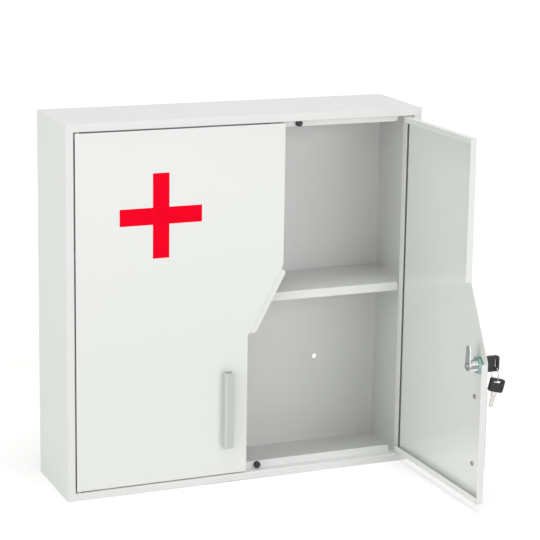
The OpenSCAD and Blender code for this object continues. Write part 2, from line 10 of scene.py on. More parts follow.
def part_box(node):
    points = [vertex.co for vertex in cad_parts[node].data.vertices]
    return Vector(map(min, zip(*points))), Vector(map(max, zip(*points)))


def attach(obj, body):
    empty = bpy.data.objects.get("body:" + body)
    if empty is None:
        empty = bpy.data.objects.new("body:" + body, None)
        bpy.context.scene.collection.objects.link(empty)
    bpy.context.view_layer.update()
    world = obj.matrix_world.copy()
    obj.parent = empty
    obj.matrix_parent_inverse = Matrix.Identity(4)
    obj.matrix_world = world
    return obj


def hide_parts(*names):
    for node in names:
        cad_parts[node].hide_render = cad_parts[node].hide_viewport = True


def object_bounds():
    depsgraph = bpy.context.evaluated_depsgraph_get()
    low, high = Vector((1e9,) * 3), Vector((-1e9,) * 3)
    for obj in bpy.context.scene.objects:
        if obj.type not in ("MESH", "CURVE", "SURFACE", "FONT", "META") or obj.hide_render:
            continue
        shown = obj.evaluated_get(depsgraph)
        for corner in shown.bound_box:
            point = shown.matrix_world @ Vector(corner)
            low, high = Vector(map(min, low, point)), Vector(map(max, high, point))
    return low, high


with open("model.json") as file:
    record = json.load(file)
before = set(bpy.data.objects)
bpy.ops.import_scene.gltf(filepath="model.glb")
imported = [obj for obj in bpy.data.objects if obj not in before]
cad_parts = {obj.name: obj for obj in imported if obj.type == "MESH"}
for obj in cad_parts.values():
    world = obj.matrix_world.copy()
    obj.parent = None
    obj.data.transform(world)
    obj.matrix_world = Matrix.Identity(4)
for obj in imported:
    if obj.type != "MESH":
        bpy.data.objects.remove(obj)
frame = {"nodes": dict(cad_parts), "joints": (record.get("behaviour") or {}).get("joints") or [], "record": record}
cadLow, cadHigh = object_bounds()
nodes = frame["nodes"]
joints = {joint["name"]: joint for joint in frame["joints"]}
mm = 0.001
still = Matrix.Identity(4)
meshCare = {"double": 0.002, "seam": 0.001, "flat": 1, "sharp": 40}  # distances to merge, degrees


def partMesh(nodeName, turn=still):
    # merged copy of a node's mesh, taken back through the turn that hangs it
    bm = bmesh.new()
    bm.from_mesh(nodes[nodeName].data)
    bmesh.ops.remove_doubles(bm, verts=bm.verts, dist=meshCare["double"] * mm)
    bmesh.ops.dissolve_limit(bm, angle_limit=math.radians(meshCare["flat"]), verts=bm.verts,
                             edges=bm.edges)
    bm.transform(turn.inverted())
    bm.normal_update()
    return bm


def boxOf(points):
    points = list(points)
    low = Vector([min(p[i] for p in points) for i in range(3)])
    high = Vector([max(p[i] for p in points) for i in range(3)])
    return low, high


def boxWhere(nodeName, turn=still, test=lambda co: True):
    # box of the points of a node that pass the test, before its turn
    bm = partMesh(nodeName, turn)
    box = boxOf(v.co.copy() for v in bm.verts if test(v.co))
    bm.free()
    return box


def solidBoxes(nodeName, turn=still):
    # one box for each separate solid of a node, before its turn
    bm = partMesh(nodeName, turn)
    waiting = set(bm.verts)
    boxes = []
    while waiting:
        front = [waiting.pop()]
        solid = list(front)
        while front:
            for edge in front.pop().link_edges:
                for vert in edge.verts:
                    if vert in waiting:
                        waiting.remove(vert)
                        front.append(vert)
                        solid.append(vert)
        boxes.append(boxOf(v.co.copy() for v in solid))
    bm.free()
    return sorted(boxes, key=lambda box: tuple(round(c, 5) for c in box[0]))


def widthOf(face):
    return 2 * face.calc_area() / face.calc_perimeter()


def cornerEdges(bm, wide, convex):
    # sharp edges between two faces wider than wide; with None, every sharp edge
    found = []
    for edge in bm.edges:
        if len(edge.link_faces) != 2 or edge.calc_face_angle(0) < math.radians(meshCare["sharp"]):
            continue
        isFold = wide is None or min(widthOf(face) for face in edge.link_faces) > wide
        if isFold and edge.is_convex == convex:
            found.append(edge)
    return found


def roundOff(bm, edges, radius, segments=3):
    # rounds the edges and hands back the faces of the roundings
    if not edges:
        return []
    made = bmesh.ops.bevel(bm, geom=edges, offset=radius, offset_type="OFFSET", affect="EDGES",
                           segments=segments, profile=0.5, material=-1, clamp_overlap=False)
    bm.normal_update()
    return made["faces"]


def lathe(profile, steps, closed=False):
    # spins (radius, height) points round Z; closed joins the last point to the first
    bm = bmesh.new()
    verts = [bm.verts.new((r, 0, z)) for r, z in profile]
    ends = verts[1:] + verts[:1] if closed else verts[1:]
    edges = [bm.edges.new(pair) for pair in zip(verts, ends)]
    bmesh.ops.spin(bm, geom=verts + edges, cent=(0, 0, 0), axis=(0, 0, 1), dvec=(0, 0, 0),
                   angle=2 * math.pi, steps=steps, use_merge=True)
    bmesh.ops.remove_doubles(bm, verts=bm.verts, dist=meshCare["seam"] * mm)
    bmesh.ops.recalc_face_normals(bm, faces=bm.faces)
    return bm


def arc(r, z, radius, start, end, count=6):
    # points of an arc in a lathe profile, angles in degrees from the radial direction
    turns = [math.radians(start + (end - start) * i / count) for i in range(count + 1)]
    return [(r + radius * math.cos(a), z + radius * math.sin(a)) for a in turns]


def block(size, centre=(0, 0, 0)):
    bm = bmesh.new()
    bmesh.ops.create_cube(bm, size=1)
    bmesh.ops.scale(bm, verts=bm.verts, vec=size)
    bmesh.ops.translate(bm, verts=bm.verts, vec=centre)
    return bm


def turned(bm, degrees, axis):
    # turns a whole mesh about an axis through the origin
    bmesh.ops.rotate(bm, verts=bm.verts, cent=(0, 0, 0),
                     matrix=Matrix.Rotation(math.radians(degrees), 3, axis))


def joined(parts):
    # several meshes put into the first one
    bm = parts[0]
    for part in parts[1:]:
        mesh = bpy.data.meshes.new("part")
        part.to_mesh(mesh)
        part.free()
        bm.from_mesh(mesh)
        bpy.data.meshes.remove(mesh)
    return bm


def carved(bm, tool, operation="DIFFERENCE"):
    # cuts one solid with another and hands back the result
    pair = []
    for part in (bm, tool):
        mesh = bpy.data.meshes.new("carve")
        part.to_mesh(mesh)
        part.free()
        pair.append(bpy.data.objects.new("carve", mesh))
        bpy.context.scene.collection.objects.link(pair[-1])
    cut = pair[0].modifiers.new("cut", "BOOLEAN")
    cut.operation = operation
    cut.solver = "EXACT"
    cut.object = pair[1]
    bpy.context.view_layer.update()
    done = bmesh.new()
    done.from_object(pair[0], bpy.context.evaluated_depsgraph_get())
    for obj in pair:
        mesh = obj.data
        bpy.data.objects.remove(obj)
        bpy.data.meshes.remove(mesh)
    return done


def setPiece(bm, pieceName, body, replaced, slotName, turn=still, smoothAngle=38):
    # puts a finished mesh in the scene, on its body, in place of the nodes that it stands for
    bm.transform(turn)
    mesh = bpy.data.meshes.new(pieceName)
    for face in bm.faces:
        face.smooth = True
    bm.to_mesh(mesh)
    bm.free()
    mesh.set_sharp_from_angle(angle=math.radians(smoothAngle))
    piece = bpy.data.objects.new(pieceName, mesh)
    bpy.context.scene.collection.objects.link(piece)
    mesh.materials.append(finishes[slotName])
    normals = piece.modifiers.new("evenNormals", "WEIGHTED_NORMAL")
    normals.keep_sharp = True
    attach(piece, body)
    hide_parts(*replaced)


class Shade:
    # wraps one socket of a material; arithmetic on it adds Math nodes
    def __init__(self, tree, socket=None):
        self.tree = tree
        self.socket = socket

    def add(self, kind, settings=None, inputs=None, out=0):
        made = self.tree.nodes.new("ShaderNode" + kind)
        for name, value in (settings or {}).items():
            if name == "stops":
                ramp = made.color_ramp.elements
                ramp[0].position, ramp[0].color = value[0]
                ramp[1].position, ramp[1].color = value[-1]
                for place, colour in value[1:-1]:
                    ramp.new(place).color = colour
            else:
                setattr(made, name, value)
        for name, value in (inputs or {}).items():
            if isinstance(value, Shade):
                self.tree.links.new(value.socket, made.inputs[name])
            else:
                made.inputs[name].default_value = value
        return Shade(self.tree, made.outputs[out]) if made.outputs else made

    def mix(self, amount, first, second):
        # a colour Mix: sockets 0, 6 and 7 are its factor and its two colours
        return self.add("Mix", {"data_type": "RGBA"}, {0: amount, 6: first, 7: second}, out=2)

    def calc(self, operation, first, second):
        return self.add("Math", {"operation": operation}, {0: first, 1: second})

    def __add__(self, other):
        return self.calc("ADD", self, other)

    def __mul__(self, other):
        return self.calc("MULTIPLY", self, other)

    __radd__ = __add__
    __rmul__ = __mul__


def rgba(colour, gain=1.0):
    return (colour[0] * gain, colour[1] * gain, colour[2] * gain, 1.0)


def startMaterial(name):
    mat = bpy.data.materials.new(name)
    mat.use_nodes = True
    mat.node_tree.nodes.clear()
    return mat, Shade(mat.node_tree)


def noise(start, place, scale, detail=2.0, roughness=0.5):
    return start.add("TexNoise", {}, {"Vector": place, "Scale": scale, "Detail": detail,
                                      "Roughness": roughness})


def between(start, value, low, high, outLow=0.0, outHigh=1.0):
    return start.add("MapRange", {}, {"Value": value, "From Min": low, "From Max": high,
                                      "To Min": outLow, "To Max": outHigh})


def endMaterial(mat, start, sockets):
    surface = start.add("BsdfPrincipled", {}, sockets)
    start.add("OutputMaterial", {}, {"Surface": surface})
    return mat


glossBand = (0.3, 0.7)  # levels of the noise at which a finish is at its shiniest and at its dullest


def enamel(name, look):
    # powder coat: fine orange peel, a faint drift of tint and of gloss, and where a fold colour is given, a
    # painted highlight on the outer folds
    mat, start = startMaterial(name)
    place = start.add("TexCoord", out="Object")
    drift = noise(start, place, look["driftScale"])
    colour = start.mix(between(start, drift, *look["driftBand"]), rgba(look["colour"]),
                       rgba(look["tint"]))
    if look["foldHighlightColour"]:
        # the attribute is 1 on the rounded outer folds, and 0 elsewhere; there the colour is lightened, broken up
        # by noise, as a painted highlight along the folds
        bent = start.add("Attribute", {"attribute_name": "fold"}, out="Fac")
        highlightNoise = noise(start, place, look["highlightNoiseScale"], detail=3.0, roughness=0.6)
        colour = start.mix(between(start, bent + highlightNoise * look["highlightNoiseShare"], *look["highlightBand"]), colour,
                           rgba(look["foldHighlightColour"]))
    sheen = noise(start, place, look["glossScale"], detail=4.0, roughness=0.6)
    gloss = between(start, sheen, *glossBand,
                    look["roughness"] - look["shinier"], look["roughness"] + look["duller"])
    peel = noise(start, place, look["peelScale"], roughness=0.45)
    grit = noise(start, place, look["gritScale"], detail=1.0)
    bump = start.add("Bump", {}, {"Height": peel * look["peelShare"] + grit * look["gritShare"],
                                  "Strength": look["peelDepth"], "Distance": look["peelHeight"] * mm})
    return endMaterial(mat, start, {"Base Color": colour, "Roughness": gloss, "Normal": bump,
                                    "IOR": look["ior"], "Coat Weight": look["coat"],
                                    "Coat Roughness": look["coatRoughness"]})


def moulded(name, look):
    # moulded plastic or rubber: fine spark texture, dull and shiny patches
    mat, start = startMaterial(name)
    place = start.add("TexCoord", out="Object")
    patches = noise(start, place, look["patchScale"], detail=3.0, roughness=0.6)
    colour = start.mix(patches, rgba(look["colour"]), rgba(look["colour"], look["patchGain"]))
    gloss = between(start, patches, *glossBand,
                    look["roughness"] - look["spread"], look["roughness"] + look["spread"])
    grain = noise(start, place, look["grainScale"], detail=3.0, roughness=0.6)
    bump = start.add("Bump", {}, {"Height": grain, "Strength": look["grainDepth"],
                                  "Distance": look["grainHeight"] * mm})
    return endMaterial(mat, start, {"Base Color": colour, "Roughness": gloss, "Normal": bump,
                                    "IOR": look["ior"]})


def metal(name, look):
    # plated or plain metal: drifting tint, draw lines along one direction and fine scratches
    mat, start = startMaterial(name)
    place = start.add("TexCoord", out="Object")
    clouds = noise(start, place, look["cloudScale"], detail=4.0, roughness=0.6)
    colour = start.add("ValToRGB", {"stops": look["tints"]}, {"Fac": clouds})
    stretched = start.add("Mapping", {}, {"Vector": place, "Scale": look["lines"]})
    lines = noise(start, stretched, 1.0, detail=3.0, roughness=0.65)
    gloss = between(start, lines * look["lineShare"] + clouds * look["cloudShare"], *glossBand,
                    look["roughness"] - look["spread"], look["roughness"] + look["spread"])
    bump = start.add("Bump", {}, {"Height": lines, "Strength": look["lineDepth"],
                                  "Distance": look["lineHeight"] * mm})
    return endMaterial(mat, start, {"Base Color": colour, "Roughness": gloss, "Normal": bump,
                                    "Metallic": 1.0})


def film(name, look):
    # cut film: even satin colour, with the faint waviness of the sheet below
    mat, start = startMaterial(name)
    place = start.add("TexCoord", out="Object")
    drift = noise(start, place, look["driftScale"])
    colour = start.mix(drift, rgba(look["colour"]), rgba(look["deep"]))
    gloss = between(start, noise(start, place, look["glossScale"], detail=4.0), *glossBand,
                    look["roughness"] - look["shinier"], look["roughness"] + look["duller"])
    bump = start.add("Bump", {}, {"Height": noise(start, place, look["waveScale"]),
                                  "Strength": look["waveDepth"], "Distance": look["waveHeight"] * mm})
    return endMaterial(mat, start, {"Base Color": colour, "Roughness": gloss, "Normal": bump,
                                    "Specular IOR Level": look["specular"]})


whiteCoat = {"colour": (0.81, 0.812, 0.81), "tint": (0.80, 0.812, 0.797), "driftScale": 2.2,
             "driftBand": (0.35, 0.65), "roughness": 0.42, "glossScale": 14.0, "shinier": 0.03,
             "duller": 0.04, "ior": 1.5, "coat": 0.08, "coatRoughness": 0.3,
             "peelScale": 520.0, "peelShare": 0.8, "peelDepth": 0.10, "peelHeight": 0.1,
             "gritScale": 2800.0, "gritShare": 0.2,
             "foldHighlightColour": None, "highlightNoiseScale": 160.0, "highlightNoiseShare": 0.35, "highlightBand": (0.55, 0.95)}
mouldSkin = {"spread": 0.06, "grainHeight": 0.06}
metalSkin = {"lineShare": 0.6, "cloudShare": 0.4, "lineHeight": 0.03}
finishes = {
    "cabinet_enamel": enamel("cabinetEnamel", whiteCoat),
    "shelf_enamel": enamel("shelfEnamel", {**whiteCoat, "colour": (0.83, 0.83, 0.825),
                                           "driftScale": 3.0, "roughness": 0.30}),
    "door_enamel": enamel("doorEnamel", {**whiteCoat, "colour": (0.83, 0.835, 0.828),
                                         "tint": (0.815, 0.833, 0.812),
                                         "roughness": 0.18, "peelDepth": 0.05, "coat": 0.5,
                                         "coatRoughness": 0.06}),
    # the handle's fold colour is lighter than its coat: a painted highlight along its bends
    "handle_enamel": enamel("handleEnamel", {**whiteCoat, "colour": (0.555, 0.59, 0.555),
                                             "tint": (0.535, 0.575, 0.54), "roughness": 0.42,
                                             "coat": 0.1, "foldHighlightColour": (0.64, 0.68, 0.645)}),
    "plug_plastic": moulded("plugPlastic", {**mouldSkin, "colour": (0.93, 0.93, 0.93),
                                            "patchGain": 0.96, "patchScale": 300.0, "roughness": 0.42,
                                            "grainScale": 4000.0, "grainDepth": 0.1, "ior": 1.49}),
    "bush_nylon": moulded("bushNylon", {**mouldSkin, "colour": (0.74, 0.73, 0.68),
                                        "patchGain": 0.94, "patchScale": 400.0, "roughness": 0.5,
                                        "grainScale": 3000.0, "grainDepth": 0.1, "ior": 1.53}),
    "bumper_rubber": moulded("bumperRubber", {**mouldSkin, "colour": (0.016, 0.017, 0.017),
                                              "patchGain": 2.2, "patchScale": 260.0, "roughness": 0.6,
                                              "grainScale": 2200.0, "grainDepth": 0.35, "ior": 1.5}),
    "bow_plastic": moulded("bowPlastic", {**mouldSkin, "colour": (0.005, 0.005, 0.005),
                                          "patchGain": 1.6, "patchScale": 120.0, "roughness": 0.44,
                                          "grainScale": 3200.0, "grainDepth": 0.25, "ior": 1.5}),
    "cross_film": film("crossFilm", {"colour": (0.99, 0.0, 0.018), "deep": (0.94, 0.0, 0.02),
                                     "driftScale": 30.0, "roughness": 0.32, "glossScale": 60.0,
                                     "shinier": 0.04, "duller": 0.05, "specular": 0.03,
                                     "waveScale": 380.0, "waveDepth": 0.05, "waveHeight": 0.1}),
    "zinc": metal("zincPlate", {**metalSkin, "tints": [(0.3, rgba((0.24, 0.235, 0.23))),
                                                       (0.7, rgba((0.40, 0.395, 0.39)))],
                                "cloudScale": 500.0, "lines": (900.0, 900.0, 5200.0),
                                "roughness": 0.32, "spread": 0.10, "lineDepth": 0.2}),
    "passivated_zinc": metal("passivatedZinc", {
        **metalSkin, "tints": [(0.28, rgba((0.27, 0.50, 0.51))), (0.45, rgba((0.38, 0.60, 0.58))),
                               (0.60, rgba((0.52, 0.64, 0.56))), (0.75, rgba((0.40, 0.56, 0.60)))],
        "cloudScale": 420.0, "lines": (1500.0, 1500.0, 5000.0),
        "roughness": 0.26, "spread": 0.08, "lineDepth": 0.15}),
    "lock_chrome": metal("lockChrome", {**metalSkin, "tints": [(0.3, rgba((0.66, 0.68, 0.68))),
                                                               (0.7, rgba((0.78, 0.79, 0.79)))],
                                        "cloudScale": 220.0, "lines": (700.0, 700.0, 4200.0),
                                        "roughness": 0.16, "spread": 0.07, "lineDepth": 0.12}),
    "wafer_brass": metal("waferBrass", {**metalSkin, "tints": [(0.3, rgba((0.66, 0.47, 0.20))),
                                                               (0.7, rgba((0.80, 0.62, 0.32)))],
                                        "cloudScale": 600.0, "lines": (5000.0, 900.0, 900.0),
                                        "roughness": 0.34, "spread": 0.1, "lineDepth": 0.2}),
    "key_steel": metal("keySteel", {**metalSkin, "tints": [(0.3, rgba((0.58, 0.56, 0.54))),
                                                           (0.7, rgba((0.70, 0.68, 0.66)))],
                                    "cloudScale": 380.0, "lines": (5200.0, 5200.0, 600.0),
                                    "roughness": 0.27, "spread": 0.1, "lineDepth": 0.25}),
}
for row in frame["record"]["subparts"]:
    node = nodes[row["node"]]
    node.data.materials.clear()
    node.data.materials.append(finishes[row["material_slot"]])
print("stage: finishes")


# the right door's pieces are shaped as if it were closed, and then hung open as photographed
openTurn = math.radians(-joints["right_door_swing"]["range_deg"][0])
hinge = Matrix.Translation(joints["right_door_swing"]["pos_m"])
hungOpen = hinge @ Matrix.Rotation(openTurn, 4, "Z") @ hinge.inverted()

# node, body, slot, turn, outer radius of its folds, and the width up to which a face is a cut edge
sheets = {
    "bodyShell": ("body_wrap", "cabinet", "cabinet_enamel", still, 1.8, 1.5),
    "backPanel": ("back_panel", "cabinet", "cabinet_enamel", still, 0, 1.5),
    "topStopRail": ("top_stop_rail", "cabinet", "cabinet_enamel", still, 1.3, 1.5),
    "bottomStopRail": ("bottom_stop_rail", "cabinet", "cabinet_enamel", still, 1.3, 1.5),
    "leftJamb": ("left_jamb", "cabinet", "cabinet_enamel", still, 1.3, 1.5),
    "rightJamb": ("right_jamb", "cabinet", "cabinet_enamel", still, 1.3, 1.5),
    "shelfTray": ("shelf", "cabinet", "shelf_enamel", still, 1.3, 1.5),
    "shelfBrackets": ("shelf_brackets", "cabinet", "shelf_enamel", still, 1.4, 1.5),
    "leftDoorLeaf": ("left_door", "left_leaf", "door_enamel", still, 0.7, 1.5),
    "lapStrip": ("lap_strip", "left_leaf", "door_enamel", still, 0, 1.5),
    "rightDoorLeaf": ("right_door", "right_leaf", "door_enamel", hungOpen, 0.7, 1.5),
    "leftHandle": ("left_handle", "left_leaf", "handle_enamel", still, 1.9, 3.4),
    "rightHandle": ("right_handle", "right_leaf", "handle_enamel", hungOpen, 1.9, 3.4),
}
sheetLook = {"foldSteps": 4, "shortestFold": 2.0, "innerFold": 0.5, "innerSteps": 2,
             "cutEdge": 0.22, "cutSteps": 2, "cutPlay": 0.0001, "onCut": 0.01, "longestSlit": 30.0}
sheetT = 1.0 * mm  # thickness of the sheets that stems and screws pass through


def openRings(bm):
    # cuts ring-shaped faces across the middle, and drops the slits at their corners
    middle = sum((v.co.x for v in bm.verts), 0.0) / len(bm.verts)
    bmesh.ops.bisect_plane(bm, geom=list(bm.verts) + list(bm.edges) + list(bm.faces),
                           dist=sheetLook["cutPlay"] * mm, plane_co=(middle, 0, 0),
                           plane_no=(1, 0, 0))
    slits = [e for e in bm.edges
             if len(e.link_faces) == 2 and e.calc_face_angle(0) < math.radians(meshCare["flat"])
             and max(abs(v.co.x - middle) for v in e.verts) > sheetLook["onCut"] * mm
             and e.calc_length() < sheetLook["longestSlit"] * mm]
    for slit in slits:
        if slit.is_valid:
            bmesh.ops.dissolve_edges(bm, edges=[slit], use_verts=False)
    bm.normal_update()


def foldedSheet(pieceName):
    # rounds a sheet's folds outside and inside, and then its cut edges
    nodeName, body, slotName, turn, fold, wide = sheets[pieceName]
    bm = partMesh(nodeName, turn)
    openRings(bm)
    # marks the rounded outer folds, which the handle's finish lightens as a painted highlight
    bent = bm.faces.layers.float.new("fold")
    if fold:
        folds = [e for e in cornerEdges(bm, wide * mm, True)
                 if e.calc_length() > sheetLook["shortestFold"] * mm]
        for face in roundOff(bm, folds, fold * mm, sheetLook["foldSteps"]):
            face[bent] = 1.0
        roundOff(bm, cornerEdges(bm, wide * mm, False), sheetLook["innerFold"] * mm,
                 sheetLook["innerSteps"])
    roundOff(bm, cornerEdges(bm, None, True), sheetLook["cutEdge"] * mm, sheetLook["cutSteps"])
    setPiece(bm, pieceName, body, [nodeName], slotName, turn)


for pieceName in sheets:
    foldedSheet(pieceName)
print("stage: sheets")


crossLook = {"edge": 0.08, "edgeSteps": 2}
cross = partMesh("first_aid_cross")
roundOff(cross, cornerEdges(cross, None, True), crossLook["edge"] * mm, crossLook["edgeSteps"])
setPiece(cross, "filmCross", "left_leaf", ["first_aid_cross"], "cross_film")


bumperLook = {"edge": 1.5, "dimple": 2.6, "dimpleFloor": 0.6, "dimpleDepth": 0.35, "waist": 0.35,
              "stem": 0.46, "bulb": 0.65, "tip": 0.55, "seat": 0.02, "grip": 0.05, "bulbEdge": 0.4,
              "steps": 40}


def bumper(box, railY):
    # rounded cap with a shallow dimple, stem through the rail and a bulb behind it
    low, high = box
    r = (high.x - low.x) / 2
    cap = railY - low.y
    edge = bumperLook["edge"] * mm
    seat = bumperLook["seat"] * mm
    stem = bumperLook["stem"] * r
    bulb = bumperLook["bulb"] * r
    tail = high.y - railY
    floor = cap - bumperLook["dimpleDepth"] * mm
    profile = [(0, floor), (bumperLook["dimple"] * bumperLook["dimpleFloor"] * mm, floor),
               (bumperLook["dimple"] * mm, cap)]
    profile += arc(r - edge, cap - edge, edge, 90, 0)
    profile += [(r, bumperLook["waist"] * mm * 2), (r - bumperLook["waist"] * mm, seat),
                (stem, seat), (stem, -sheetT), (bulb, -sheetT - bumperLook["grip"] * mm),
                (bulb, -sheetT - bumperLook["bulbEdge"] * mm), (bumperLook["tip"] * bulb, -tail),
                (0, -tail)]
    bm = lathe(profile, bumperLook["steps"])
    centre = Vector(((low.x + high.x) / 2, railY, (low.z + high.z) / 2))
    bm.transform(Matrix.Translation(centre) @ Matrix.Rotation(math.radians(90), 4, "X"))
    return bm


for nodeName, railName, pieceName in (("top_bumpers", "top_stop_rail", "topBumpers"),
                                      ("bottom_bumpers", "bottom_stop_rail", "bottomBumpers")):
    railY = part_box(railName)[0].y
    caps = joined([bumper(box, railY) for box in solidBoxes(nodeName)])
    setPiece(caps, pieceName, "cabinet", [nodeName], "bumper_rubber")


plugLook = {"dome": [(0.45, 0.93), (0.78, 0.66), (1, 0.2)], "shank": 0.72, "steps": 24}


def sidePlug(box):
    # low dome with a short shank, pressed into the side wall
    low, high = box
    side = 1 if low.x > 0 else -1
    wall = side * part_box("body_wrap")[1].x
    r = (high.z - low.z) / 2
    rise = max(abs(low.x), abs(high.x)) - abs(wall)
    deep = abs(wall) - min(abs(low.x), abs(high.x))
    shank = plugLook["shank"] * r
    profile = [(0, rise)] + [(out * r, up * rise) for out, up in plugLook["dome"]]
    profile += [(r, 0), (shank, 0), (shank, -deep), (0, -deep)]
    bm = lathe(profile, plugLook["steps"])
    centre = Vector((wall, (low.y + high.y) / 2, (low.z + high.z) / 2))
    bm.transform(Matrix.Translation(centre) @ Matrix.Rotation(side * math.radians(90), 4, "Y"))
    return bm


setPiece(joined([sidePlug(box) for box in solidBoxes("side_plugs")]), "sidePlugs", "cabinet",
         ["side_plugs"], "plug_plastic")


screwLook = {"head": [(0, 1), (0.35, 0.985), (0.62, 0.93), (0.82, 0.78), (0.95, 0.5), (1, 0.2),
                      (1, 0.02), (0.96, 0)],
             "tip": 0.7, "tipLength": 0.3, "steps": 40, "handleShank": 0.51, "camShank": 0.48,
             "recessWidth": 1.35, "recessDepth": 1.6, "recessReach": 0.60,
             "recessFloor": (0.35, 0.6, 1)}


def crossRecess(r, top):
    # two tapered slots, crossed, sunk into the top of a head
    cutters = []
    for turnBy in (0, 90):
        slot = block((2 * screwLook["recessReach"] * r, screwLook["recessWidth"] * mm,
                      2 * screwLook["recessDepth"] * mm), (0, 0, top))
        floor = [v for v in slot.verts if v.co.z < top]
        bmesh.ops.scale(slot, verts=floor, vec=screwLook["recessFloor"])
        turned(slot, turnBy, "Z")
        cutters.append(slot)
    return cutters


def panScrew(headR, headH, shankR, shankL):
    # pan head with a rounded crown on z = 0, shank below
    profile = [(out * headR, up * headH) for out, up in screwLook["head"]]
    profile += [(shankR, 0), (shankR, -shankL + screwLook["tipLength"] * shankR),
                (screwLook["tip"] * shankR, -shankL), (0, -shankL)]
    bm = lathe(profile, screwLook["steps"])
    for cutter in crossRecess(headR, headH):
        bm = carved(bm, cutter)
    return bm


def handleScrews(nodeName, doorName, pieceName, body, turn):
    skin = boxWhere(doorName, turn)[0].y + sheetT  # inner face of the skin
    screws = []
    for low, high in solidBoxes(nodeName, turn):
        headR = (high.x - low.x) / 2
        screw = panScrew(headR, high.y - skin, screwLook["handleShank"] * headR, skin - low.y)
        centre = Vector(((low.x + high.x) / 2, skin, (low.z + high.z) / 2))
        screw.transform(Matrix.Translation(centre) @ Matrix.Rotation(math.radians(-90), 4, "X"))
        screws.append(screw)
    setPiece(joined(screws), pieceName, body, [nodeName], "zinc", turn)


handleScrews("left_handle_screws", "left_door", "leftHandleScrews", "left_leaf", still)
handleScrews("right_handle_screws", "right_door", "rightHandleScrews", "right_leaf", hungOpen)


hingeLook = {"edge": 0.15, "edgeSteps": 2}
for nodeName, pieceName, body, slotName, turn in (
        ("left_hinge_pins", "leftHingePins", "cabinet", "zinc", still),
        ("right_hinge_pins", "rightHingePins", "cabinet", "zinc", still),
        ("left_hinge_bushes", "leftHingeBushes", "left_leaf", "bush_nylon", still),
        ("right_hinge_bushes", "rightHingeBushes", "right_leaf", "bush_nylon", hungOpen)):
    small = partMesh(nodeName, turn)
    roundOff(small, cornerEdges(small, None, True), hingeLook["edge"] * mm, hingeLook["edgeSteps"])
    setPiece(small, pieceName, body, [nodeName], slotName, turn)
print("stage: small parts")


# the lock's pieces are shaped with the plug's axis along Z, going out of the door
lockJoint = joints["lock_turn"]
outward = Vector(lockJoint["axis"])
upward = Vector((0, 0, 1))
lockFrame = Matrix((upward.cross(outward), upward, outward)).transposed().to_4x4()
lockFrame.translation = Vector(lockJoint["pos_m"])
lockLook = {"steps": 72, "smooth": 30, "running": 0.05, "behindFlange": 0.1,
            "pitch": 1.0, "threadDepth": 0.5, "shoulder": 0.15, "crest": 0.12, "threadEnd": 1.5,
            "neck": 1.2, "boreEdge": 0.3, "tipEdge": 0.8, "flangeEdge": 0.9, "flangeFoot": 0.2,
            "flatCutter": (8, 40), "flatBehind": 0.02}
barrel = boxWhere("lock_housing", lockFrame, lambda co: co.z < -lockLook["behindFlange"] * mm)[1]


def threadProfile(r, low, high, pitch, depth):
    # zigzag of a V thread between two heights, going up
    turns = int((high - low) / pitch)
    shoulder = r - lockLook["shoulder"] * depth
    points = []
    for i in range(turns):
        z = low + i * pitch
        points += [(r - depth, z), (shoulder, z + (0.5 - lockLook["crest"]) * pitch),
                   (r, z + 0.5 * pitch), (shoulder, z + (0.5 + lockLook["crest"]) * pitch)]
    return points + [(r - depth, low + turns * pitch)]


def lockHousing():
    # threaded barrel with two flats, behind a flange with a rounded rim
    low, high = boxWhere("lock_housing", lockFrame)
    bore = boxWhere("lock_plug", lockFrame)[1].x + lockLook["running"] * mm
    mouth = lockLook["boreEdge"] * mm
    edge = lockLook["flangeEdge"] * mm
    foot = lockLook["flangeFoot"] * mm
    r = barrel.y
    profile = [(bore, low.z + mouth), (bore + mouth, low.z), (r - lockLook["tipEdge"] * mm, low.z)]
    profile += threadProfile(r, low.z + mouth, -lockLook["threadEnd"] * mm, lockLook["pitch"] * mm,
                             lockLook["threadDepth"] * mm)
    profile += [(r, -lockLook["neck"] * mm), (r, 0), (high.x - foot, 0), (high.x, foot)]
    profile += arc(high.x - edge, high.z - edge, edge, 0, 90)
    profile += [(bore + mouth, high.z), (bore, high.z - mouth)]
    bm = lathe(profile, lockLook["steps"], closed=True)
    thick, wide = lockLook["flatCutter"]
    for side in (-1, 1):
        cutter = block((thick * mm, wide * mm, -2 * low.z),
                       (side * (barrel.x + thick / 2 * mm), 0, low.z))
        cutter.transform(Matrix.Translation((0, 0, -lockLook["flatBehind"] * mm)))
        bm = carved(bm, cutter)
    setPiece(bm, "lockHousing", "right_leaf", ["lock_housing"], "lock_chrome", lockFrame,
             lockLook["smooth"])


nutLook = {"chamfer": 1.1, "facing": 0.6, "beyond": 0.4, "mouth": 0.5, "mouthDepth": 0.4,
           "threadPlay": 0.05, "overrun": 1}


def lockNut():
    # hexagon with chamfered corners and a countersunk bore
    low, high = boxWhere("lock_nut", lockFrame)
    bm = bmesh.new()
    bmesh.ops.create_cone(bm, cap_ends=True, segments=6, radius1=high.x, radius2=high.x,
                          depth=high.z - low.z)
    bmesh.ops.translate(bm, verts=bm.verts, vec=(0, 0, (low.z + high.z) / 2))
    turned(bm, 30, "Z")  # the operator's first corner points along Y, and the nut's along X
    chamfer = nutLook["chamfer"] * mm
    facing = high.y - nutLook["facing"] * mm
    outside = high.x + nutLook["beyond"] * mm
    envelope = [(0, high.z), (facing, high.z), (outside, high.z - chamfer),
                (outside, low.z + chamfer), (facing, low.z), (0, low.z)]
    bm = carved(bm, lathe(envelope, lockLook["steps"]), "INTERSECT")
    mouth = barrel.y + nutLook["mouth"] * mm
    bore = barrel.y + nutLook["threadPlay"] * mm
    deep = nutLook["mouthDepth"] * mm
    over = nutLook["overrun"] * mm
    hole = [(0, high.z + over), (mouth, high.z + over), (bore, high.z - deep),
            (bore, low.z + deep), (mouth, low.z - over), (0, low.z - over)]
    bm = carved(bm, lathe(hole, lockLook["steps"]))
    setPiece(bm, "lockNut", "right_leaf", ["lock_nut"], "passivated_zinc", lockFrame,
             lockLook["smooth"])


